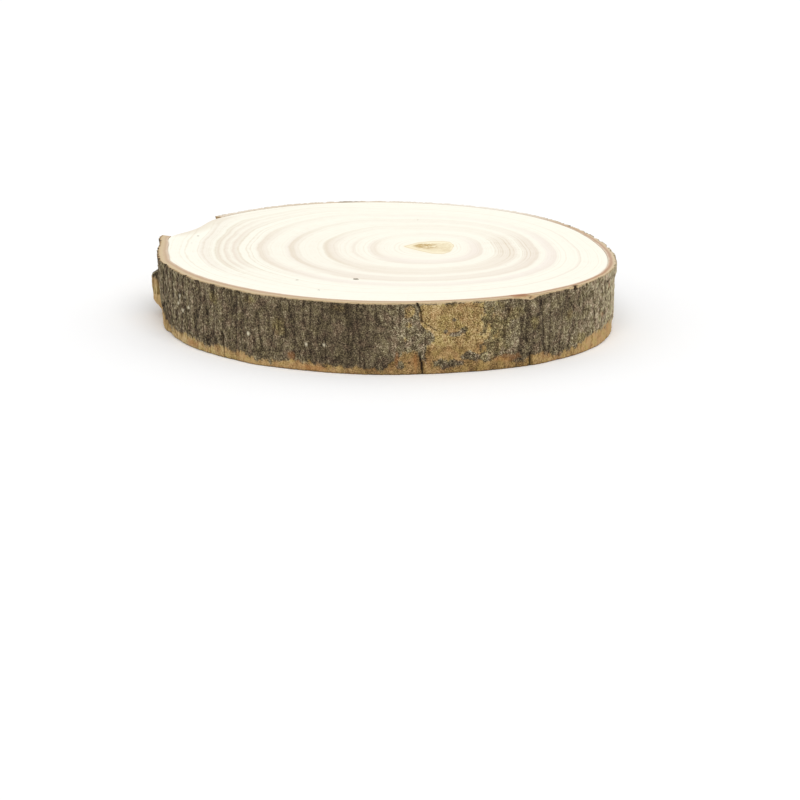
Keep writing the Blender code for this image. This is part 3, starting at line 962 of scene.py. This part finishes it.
# Fine lines 1 mm apart that run with the rings, and the mottled stretches. Real pores are 0.1 to 0.2 mm
# wide; a pattern that fine would blur away, so they are drawn 0.8 mm apart
line_place = sum_of(tree, 0.0, (even_ring, 95.0), (ripple, 0.35))
lines = add_node(
    tree, "ShaderNodeTexNoise", {"W": line_place, "Scale": 1.0, "Detail": 1.0}, noise_dimensions="1D",
).outputs["Fac"]
pores = add_node(
    tree, "ShaderNodeTexNoise", {"Vector": place, "Scale": 1.3 / MM, "Detail": 1.0},
).outputs["Fac"]
patches = add_node(
    tree, "ShaderNodeTexNoise", {"Vector": place, "Scale": 0.24 / MM, "Detail": 2.0},
).outputs["Fac"]
grime = sum_of(tree, -0.82, (lines, 1.0), (patches, 0.45), (pores, 0.25))
spread = sum_of(tree, 0.5, (read["mottled"], 1.3))
grime = add_node(
    tree, "ShaderNodeMath", {"Value": grime, "Value_001": spread}, operation="MULTIPLY", use_clamp=True,
).outputs[0]
wood_colour = mix_in(tree, grime, wood_colour, colour("#d3c2a4"))

# The bare edge of the wood is stained
wood_colour = mix_in(tree, sum_of(tree, 0.0, (read["stain"], 0.55)), wood_colour, colour("#dccbb4"))

# The golden patch round the pith
almond = add_node(
    tree, "ShaderNodeValToRGB", {"Fac": read["almond"]},
    stops=((0.25, "#fffaea"), (0.38, "#fff8e8"), (0.45, "#e9dcc4"), (0.50, "#fbf4e4"), (0.56, "#ffffff")),
).outputs["Color"]
wood_colour = mix_in(tree, 1.0, wood_colour, almond, "MULTIPLY")
speckles = sum_of(tree, -1.70, (ripple, 2.2), (pores, 2.8))
gold = add_node(
    tree, "ShaderNodeMath", {"Value": speckles, "Value_001": read["gold"]}, operation="MULTIPLY",
    use_clamp=True,
).outputs[0]
wood_colour = mix_in(tree, gold, wood_colour, colour("#ecdcb8"))
speckles = sum_of(tree, -2.35, (ripple, 2.8), (pores, 3.2))
deep = add_node(
    tree, "ShaderNodeMath", {"Value": speckles, "Value_001": read["gold_deep"]}, operation="MULTIPLY",
    use_clamp=True,
).outputs[0]
wood_colour = mix_in(tree, deep, wood_colour, colour("#c6a86f"))

# The specks, each with a ragged edge
ragged_edge = add_node(
    tree, "ShaderNodeTexNoise", {"Vector": place, "Scale": 0.9 / MM, "Detail": 1.0},
).outputs["Fac"]
ragged_edge = sum_of(tree, -0.0006, (ragged_edge, 0.0012))
for across_mm, back_mm, radius in SPECKS:
    away = add_node(
        tree, "ShaderNodeVectorMath",
        {"Vector": place, "Vector_001": (across_mm * MM, back_mm * MM, THICKNESS)},
        operation="DISTANCE",
    ).outputs["Value"]
    away = sum_of(tree, ragged_edge, (away, 1.0))
    inside = add_node(
        tree, "ShaderNodeMath", {"Value": away, "Value_001": radius * MM}, operation="LESS_THAN",
    ).outputs[0]
    inside = add_node(
        tree, "ShaderNodeMath", {"Value": inside, "Value_001": 0.25 + 0.6 * radius}, operation="MULTIPLY",
    ).outputs[0]
    wood_colour = mix_in(tree, inside, wood_colour, colour("#6b5d42"))
tree.links.new(wood_colour, shader.inputs["Base Color"])
bump = add_node(tree, "ShaderNodeBump", {"Height": pores, "Strength": 0.25, "Distance": 0.0001})
tree.links.new(bump.outputs["Normal"], shader.inputs["Normal"])
shader.inputs["Roughness"].default_value = 0.7
shader.inputs["Specular IOR Level"].default_value = 0.25

# %% [markdown]
# ### Bare sapwood
#
# Where the bark has come off, the outside of the trunk shows, with its long upright fibres. Lines could
# be modelled, but they are finer than a tenth of a millimetre. A noise that is stretched upright gives
# their colour, and a little bump gives their sheen. It covers the whole edge of the disc, though only the
# bare stretch is ever seen.

# %% Material: bare sapwood where the bark has come off
# Sapwood as it lay under the bark: straw-coloured and silky, with brown stains from the sap
bare_sapwood, tree, shader = new_material("bare_sapwood")
place = add_node(tree, "ShaderNodeTexCoord").outputs["Object"]
upright_place = add_node(
    tree, "ShaderNodeMapping", {"Vector": place, "Scale": (1, 1, 0.08)},
).outputs["Vector"]
fibres = add_node(
    tree, "ShaderNodeTexNoise", {"Vector": upright_place, "Scale": 1.1 / MM, "Detail": 2.0},
).outputs["Fac"]
stains = add_node(
    tree, "ShaderNodeTexNoise", {"Vector": place, "Scale": 0.13 / MM, "Detail": 3.0},
).outputs["Fac"]
tint = add_node(
    tree, "ShaderNodeValToRGB", {"Fac": sum_of(tree, 0.0, (fibres, 0.5), (stains, 0.5))},
    stops=((0.36, "#b79a72"), (0.46, "#dcc6a0"), (0.56, "#ecdcbd"), (0.7, "#f3e8cf")),
).outputs["Color"]
tree.links.new(tint, shader.inputs["Base Color"])
bump = add_node(tree, "ShaderNodeBump", {"Height": fibres, "Strength": 0.5, "Distance": 0.0003})
tree.links.new(bump.outputs["Normal"], shader.inputs["Normal"])
shader.inputs["Roughness"].default_value = 0.65
shader.inputs["Specular IOR Level"].default_value = 0.3

wood.data.materials.clear()
wood.data.materials.append(end_grain)
wood.data.materials.append(bare_sapwood)
wood.data.polygons.foreach_set(
    "material_index", [int(abs(face.normal.z) < 0.5) for face in wood.data.polygons],
)
print("wood materials:", [material.name for material in wood.data.materials])

# %% [markdown]
# ### Rough bark
#
# Bark isn't one colour. Its outer face is grey-brown cork with a net of dark cracks and pale scales, a
# little moss, and rusty and pale flecks. Where it has flaked off, the layer below is tan, and orange near
# the foot. One noise would give an even pattern all round, while the real bark has its upright fibres at
# the sides and a crumbled face at the front. So the numbers kept on the vertices steer the nodes: how
# upright the fibres run, how light the bark is, where it flaked and where a mark lies.

# %% Material: rough bark
# Cork bark as it grew, weathered: dry, dull and uneven, with dark lines between lighter scales. Its
# cracks are 0.5 to 2 mm apart, which is about what a pixel or two of the render can show
rough_bark, tree, shader = new_material("rough_bark")
place = add_node(tree, "ShaderNodeTexCoord").outputs["Object"]
read = {
    name: add_node(tree, "ShaderNodeAttribute", attribute_name=name).outputs["Fac"]
    for name in (
        "ridge", "flaked", "crack", "low", "tone", "upright", "rust", "moss", "fleck", "dark", "contrast",
        "lip",
    )
}
stretch = add_node(
    tree, "ShaderNodeCombineXYZ", {"X": 1.0, "Y": 1.0, "Z": sum_of(tree, 1.0, (read["upright"], -0.62))},
)
fibre_place = add_node(
    tree, "ShaderNodeVectorMath", {"Vector": place, "Vector_001": stretch.outputs["Vector"]},
    operation="MULTIPLY",
).outputs["Vector"]
net = add_node(
    tree, "ShaderNodeTexNoise", {"Vector": fibre_place, "Scale": 1.25 / MM, "Detail": 1.0},
).outputs["Fac"]
net = add_node(tree, "ShaderNodeMath", {"Value": net, "Value_001": 0.5}, operation="SUBTRACT").outputs[0]
net = add_node(tree, "ShaderNodeMath", {"Value": net}, operation="ABSOLUTE").outputs[0]
net = add_node(
    tree, "ShaderNodeMath", {"Value": net, "Value_001": -13.0, "Value_002": 1.0}, operation="MULTIPLY_ADD",
    use_clamp=True,
).outputs[0]
grit = add_node(
    tree, "ShaderNodeTexNoise", {"Vector": fibre_place, "Scale": 2.6 / MM, "Detail": 0.0},
).outputs["Fac"]
scales = add_node(
    tree, "ShaderNodeTexNoise", {"Vector": fibre_place, "Scale": 0.48 / MM, "Detail": 2.0},
).outputs["Fac"]
clouds = add_node(
    tree, "ShaderNodeTexNoise", {"Vector": place, "Scale": 0.17 / MM, "Detail": 2.0},
).outputs["Fac"]
hues = add_node(
    tree, "ShaderNodeTexNoise", {"Vector": place, "Scale": 0.33 / MM, "Detail": 2.0, "Distortion": 0.5},
).outputs["Fac"]
texture = sum_of(tree, -0.62, (net, 0.24), (grit, 0.75), (scales, 0.50), (clouds, 0.15))
# Through the ridge number the furrows are painted darker and the plate tops lighter: painted shade and light
lightness = sum_of(
    tree, 0.0, (texture, read["contrast"]), (read["ridge"], 0.36), (read["tone"], 1.0), (read["moss"], 0.03),
    (read["dark"], -0.08),
)
outer = add_node(
    tree, "ShaderNodeValToRGB", {"Fac": lightness},
    stops=(
        (0.12, "#241d14"), (0.30, "#42382a"), (0.46, "#5f5341"), (0.62, "#7a6e57"), (0.78, "#9b8f76"),
        (0.95, "#c6bca1"),
    ),
).outputs["Color"]
hue = add_node(
    tree, "ShaderNodeValToRGB", {"Fac": hues},
    stops=((0.36, "#fff4f2"), (0.48, "#fffdf8"), (0.62, "#fffff0")),
).outputs["Color"]
outer = mix_in(tree, 1.0, outer, hue, "MULTIPLY")
outer = mix_in(tree, sum_of(tree, 0.0, (read["moss"], 0.42)), outer, colour("#f0e89c"), "MULTIPLY")
dry = add_node(
    tree, "ShaderNodeValToRGB", {"Fac": lightness},
    stops=((0.15, "#4a3a22"), (0.32, "#755f3c"), (0.48, "#947c51"), (0.64, "#aa9365"), (0.85, "#cdb98e")),
).outputs["Color"]
orange = add_node(
    tree, "ShaderNodeValToRGB", {"Fac": lightness},
    stops=((0.10, "#4d3920"), (0.28, "#7a633f"), (0.46, "#9b8056"), (0.70, "#bb9f72")),
).outputs["Color"]
inner_bark = mix_in(tree, read["low"], dry, orange)
inner_hue = add_node(
    tree, "ShaderNodeValToRGB", {"Fac": hues},
    stops=((0.36, "#fdefe6"), (0.50, "#fffaf2"), (0.64, "#fafae4")),
).outputs["Color"]
inner_bark = mix_in(tree, 1.0, inner_bark, inner_hue, "MULTIPLY")
edge = sum_of(tree, -2.1, (read["flaked"], 2.2), (hues, 1.0), (grit, 1.6))
edge = add_node(
    tree, "ShaderNodeMath", {"Value": edge, "Value_001": 1.0}, operation="MULTIPLY", use_clamp=True,
).outputs[0]
skin = mix_in(tree, edge, outer, inner_bark)
skin = mix_in(tree, sum_of(tree, 0.0, (read["fleck"], 0.85)), skin, colour("#d8ceb2"))
# Cracks, chips and the set-back lowest edge are painted dark brown by their depth: painted shade
painted_recess_shade = add_node(
    tree, "ShaderNodeMath", {"Value": sum_of(tree, -0.2, (read["crack"], 1.3)), "Value_001": 0.9},
    operation="MULTIPLY", use_clamp=True,
).outputs[0]
height = add_node(tree, "ShaderNodeSeparateXYZ", {"Vector": place}).outputs["Z"]
lip = sum_of(tree, -THICKNESS / MM * 4.0 - 1.0, (height, 4.0 / MM), (read["lip"], 4.0), (scales, 2.0))
lip = add_node(
    tree, "ShaderNodeMath", {"Value": lip, "Value_001": 0.85}, operation="MULTIPLY", use_clamp=True,
).outputs[0]
skin = mix_in(tree, lip, skin, colour("#cdb48c"))
skin = mix_in(tree, sum_of(tree, 0.0, (read["rust"], 0.38)), skin, colour("#a06a38"))
skin = mix_in(tree, painted_recess_shade, skin, colour("#2f2316"))
tree.links.new(skin, shader.inputs["Base Color"])
bump = add_node(tree, "ShaderNodeBump", {"Height": lightness, "Strength": 0.6, "Distance": 0.0005})
tree.links.new(bump.outputs["Normal"], shader.inputs["Normal"])
shader.inputs["Roughness"].default_value = 0.85
shader.inputs["Specular IOR Level"].default_value = 0.2

# %% [markdown]
# ### Sawn bark
#
# On the sawn face the bark shows its layers: a thin red-brown one next to the wood, tan bark, and a dark
# weathered skin. Separate rings of mesh could carry them, but they would part with hard lines. Each
# vertex remembers its share of the way across the bark instead, and a colour ramp reads that share with
# some noise, so that the layers run into each other as the real ones do.

# %% Material: sawn bark
# Bark sawn through: dusty tan with soft edges between its layers, and no gloss
sawn_bark, tree, shader = new_material("sawn_bark")
place = add_node(tree, "ShaderNodeTexCoord").outputs["Object"]
across = add_node(tree, "ShaderNodeAttribute", attribute_name="across").outputs["Fac"]
rust = add_node(tree, "ShaderNodeAttribute", attribute_name="rust").outputs["Fac"]
streaks = add_node(
    tree, "ShaderNodeTexNoise", {"Vector": place, "Scale": 0.16 / MM, "Detail": 3.0},
).outputs["Fac"]
dust = add_node(
    tree, "ShaderNodeTexNoise", {"Vector": place, "Scale": 1.2 / MM, "Detail": 1.0},
).outputs["Fac"]
mauve = add_node(tree, "ShaderNodeAttribute", attribute_name="mauve").outputs["Fac"]
position = sum_of(tree, -0.25, (across, 1.0), (streaks, 0.35), (dust, 0.15))
layers = add_node(
    tree, "ShaderNodeValToRGB", {"Fac": position},
    stops=((0.00, "#dfccb6"), (0.30, "#cbb294"), (0.58, "#d3be9d"), (0.86, "#d1bb96"), (0.97, "#a0845e")),
).outputs["Color"]
inner_layer = add_node(
    tree, "ShaderNodeValToRGB", {"Fac": sum_of(tree, 0.0, (position, 1.0), (mauve, -0.10))},
    stops=((0.00, "#ffffff"), (0.14, "#f0dbd6"), (0.30, "#dfc4bf"), (0.44, "#eedad4"), (0.58, "#ffffff")),
).outputs["Color"]
hole_shade = add_node(tree, "ShaderNodeAttribute", attribute_name="hole_shade").outputs["Fac"]
layers = mix_in(tree, mauve, layers, inner_layer, "MULTIPLY")
paler = add_node(tree, "ShaderNodeAttribute", attribute_name="paler").outputs["Fac"]
dark = add_node(tree, "ShaderNodeAttribute", attribute_name="dark").outputs["Fac"]
layers = mix_in(tree, paler, layers, colour("#f6f1e6"))
layers = mix_in(tree, sum_of(tree, 0.0, (dark, 0.6)), layers, colour("#8f8271"))
# The holes are painted dark brown inside: painted shade
layers = mix_in(tree, hole_shade, layers, colour("#5a3a20"))
layers = mix_in(tree, sum_of(tree, 0.0, (rust, 0.55)), layers, colour("#a4653c"))
tree.links.new(layers, shader.inputs["Base Color"])
bump = add_node(tree, "ShaderNodeBump", {"Height": dust, "Strength": 0.4, "Distance": 0.0002})
tree.links.new(bump.outputs["Normal"], shader.inputs["Normal"])
shader.inputs["Roughness"].default_value = 0.8
shader.inputs["Specular IOR Level"].default_value = 0.2

# %% [markdown]
# ### Torn bark
#
# Along the missing stretch the bark's thickness is torn, not sawn. It shows short brown fibres. It is a
# narrow edge, so a noise in two browns with some bump says enough.

# %% Material: torn bark
# Inner bark torn along its fibres: brown, ragged and quite without gloss
torn_bark, tree, shader = new_material("torn_bark")
place = add_node(tree, "ShaderNodeTexCoord").outputs["Object"]
fibres = add_node(
    tree, "ShaderNodeTexNoise", {"Vector": place, "Scale": 0.8 / MM, "Detail": 3.0},
).outputs["Fac"]
tint = add_node(
    tree, "ShaderNodeValToRGB", {"Fac": fibres}, stops=((0.35, "#8e7350"), (0.65, "#cdb089")),
).outputs["Color"]
tree.links.new(tint, shader.inputs["Base Color"])
bump = add_node(tree, "ShaderNodeBump", {"Height": fibres, "Strength": 0.7, "Distance": 0.0005})
tree.links.new(bump.outputs["Normal"], shader.inputs["Normal"])
shader.inputs["Roughness"].default_value = 0.9
shader.inputs["Specular IOR Level"].default_value = 0.2

for index, material in ((ROUGH, rough_bark), (CUT, sawn_bark), (TORN, torn_bark)):
    bark.data.materials[index] = material
print("bark materials:", [material.name for material in bark.data.materials])

# %% [markdown]
# ## Floor, light and camera
#
# The slice is seen on a plain white ground under soft light from all round. A white world gives that
# light, and one sun that is 50 degrees wide, like a large softbox overhead, gives the faint shadow at
# the foot. A small lamp would throw hard edges. The camera looks down by about 15 degrees through a long
# lens, which were found by fitting the ellipses of the slice's rims, so it shows the slice as wide and
# as deep as it should be.

# %% A plain pale floor
bpy.ops.object.select_all(action="DESELECT")
bpy.ops.mesh.primitive_plane_add(size=14, location=(0, 0, -0.0001))
floor = bpy.context.object
floor.name = "floor"
white_paper, tree, shader = new_material("white_paper")
shader.inputs["Base Color"].default_value = colour("#fefefe")
shader.inputs["Roughness"].default_value = 0.9
floor.data.materials.append(white_paper)

# %% Soft light
world = bpy.data.worlds.new("soft_white_room")
world.use_nodes = True
world.node_tree.nodes["Background"].inputs["Color"].default_value = (1, 1, 1, 1)
world.node_tree.nodes["Background"].inputs["Strength"].default_value = 0.70
bpy.context.scene.world = world
sun_data = bpy.data.lights.new("large_softbox", "SUN")
sun_data.angle = math.radians(50)
sun_data.energy = 1.45
sun = bpy.data.objects.new("large_softbox", sun_data)
sun.rotation_euler = (math.radians(38), math.radians(8), 0)
bpy.context.scene.collection.objects.link(sun)

# %% The camera
VIEW_DOWN = math.radians(14.8)
DISTANCE = 1.6
AIM = Vector((0.00688, -0.0135, -0.02675))
camera_data = bpy.data.cameras.new("camera")
camera_data.lens = 202.2
camera_data.sensor_width = 36
camera = bpy.data.objects.new("camera", camera_data)
camera.location = AIM + DISTANCE * Vector((0, -math.cos(VIEW_DOWN), math.sin(VIEW_DOWN)))
camera.rotation_euler = (math.pi / 2 - VIEW_DOWN, 0, 0)
bpy.context.scene.collection.objects.link(camera)
bpy.context.scene.camera = camera
bpy.context.scene.view_settings.view_transform = "Standard"
print("camera stands at", [round(part, 3) for part in camera.location])
